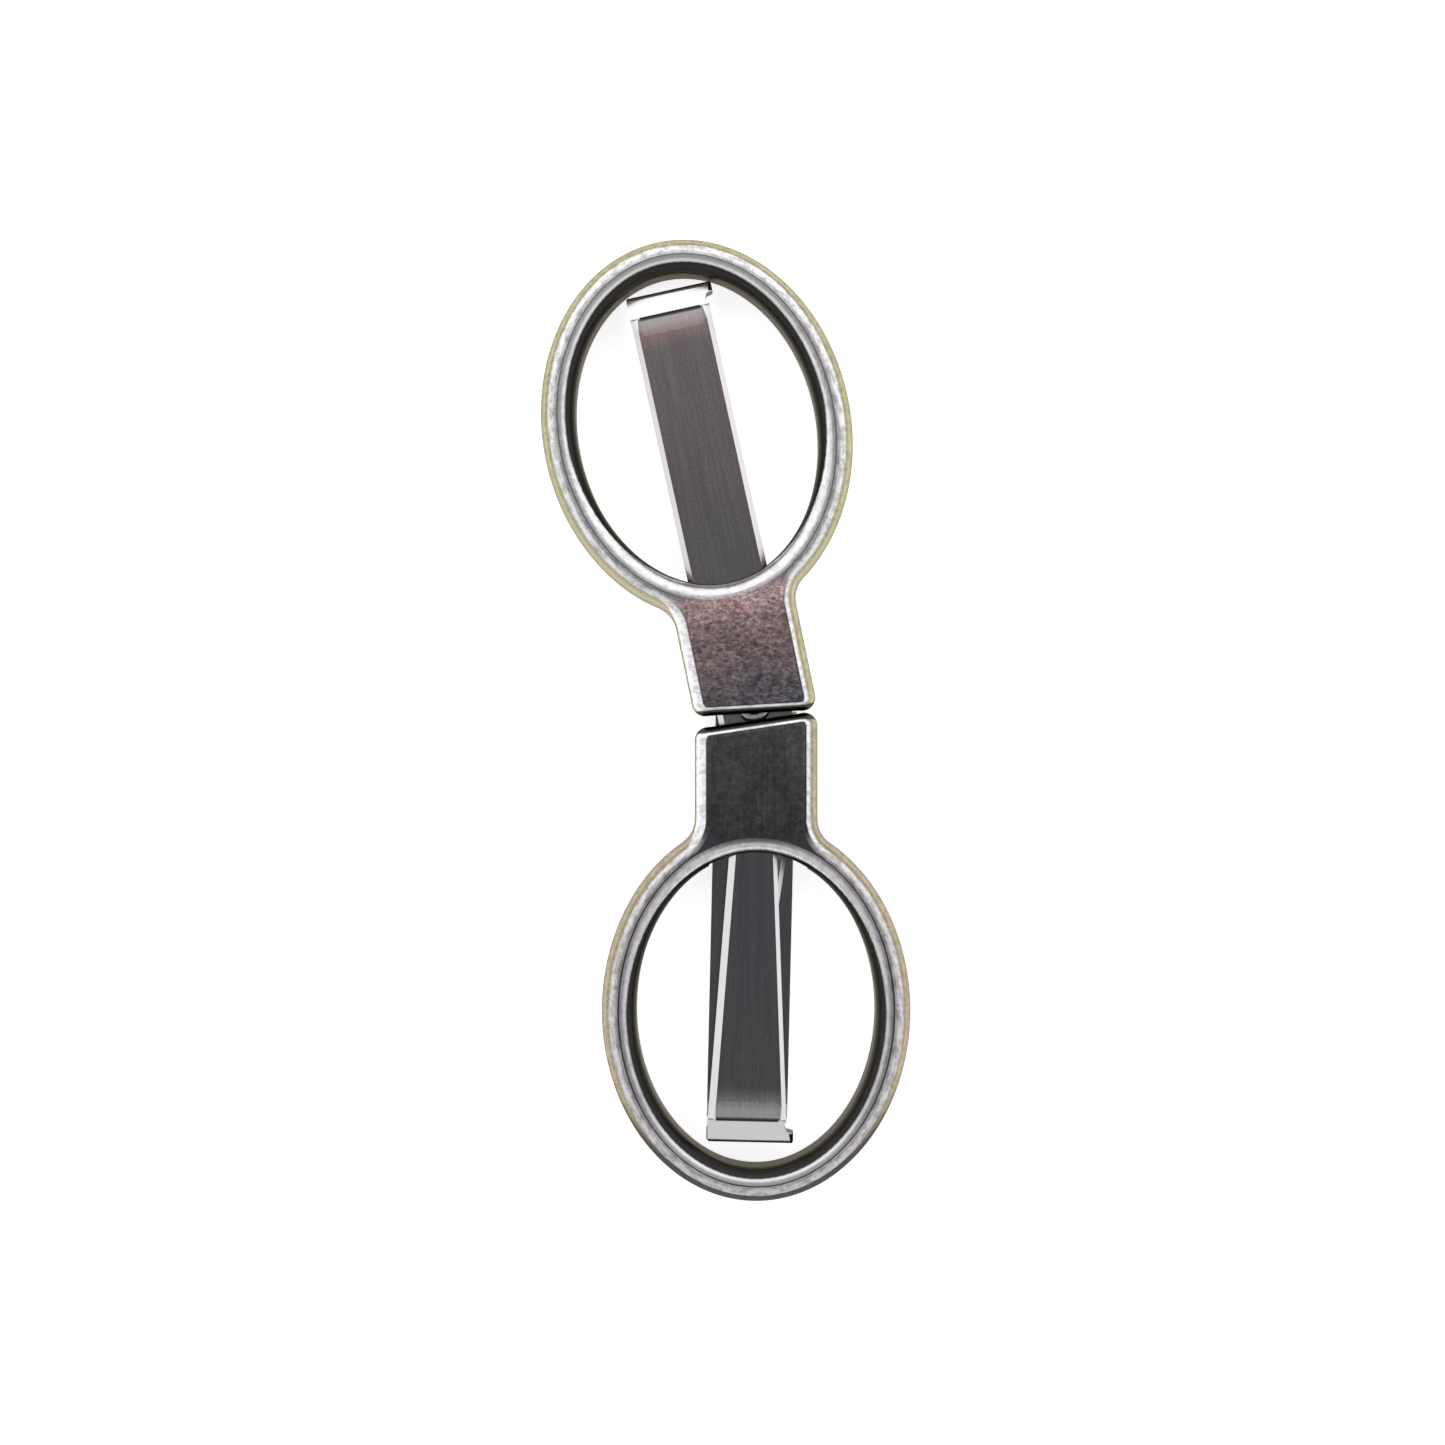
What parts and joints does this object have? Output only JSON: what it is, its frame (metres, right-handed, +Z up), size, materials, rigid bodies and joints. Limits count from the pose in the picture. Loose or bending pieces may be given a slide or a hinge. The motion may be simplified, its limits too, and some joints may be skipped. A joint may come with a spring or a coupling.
{
  "type": "folding pocket scissors",
  "caption": "Stowed folding pocket scissors: ring handles that slide along folded steel strips over short pivoted blades, in a figure eight.",
  "frame": {"origin": "middle of the bounding box's bottom face: the surface that the stowed scissors lie on is z = 0", "axes": "+Z up, along the rivet; +Y along the stowed scissors, from the lower ring to the upper one"},
  "size_m": [0.0306, 0.0796, 0.005],
  "materials": {
    "plated_casting": "nickel-chrome plated die casting, slightly orange-peeled",
    "blade_steel": "rolled stainless strip, finely scratched",
    "rivet_steel": "dull rolled rivet"
  },
  "bodies": {
    "half_b": {"blade_b": "blade_steel", "pivot_rivet": "rivet_steel"},
    "half_a": {"blade_a": "blade_steel"},
    "sliding_handle_a": {"handle_a": "plated_casting"},
    "sliding_handle_b": {"handle_b": "plated_casting"}
  },
  "joints": [
    {"name": "handle_b_slide", "type": "slide", "parent": "half_b", "child": "sliding_handle_b", "axis": [-0.0227, -0.9997, 0], "range_m": [0, 0.0334]},
    {"name": "blade_pivot", "type": "hinge", "parent": "half_b", "child": "half_a", "pos_m": [0.00235, 0.00123, 0.0025], "axis": [0, 0, 1], "range_deg": [-1, 6]},
    {"name": "handle_a_slide", "type": "slide", "parent": "half_a", "child": "sliding_handle_a", "axis": [-0.2147, 0.9767, 0], "range_m": [0, 0.0342]}
  ]
}
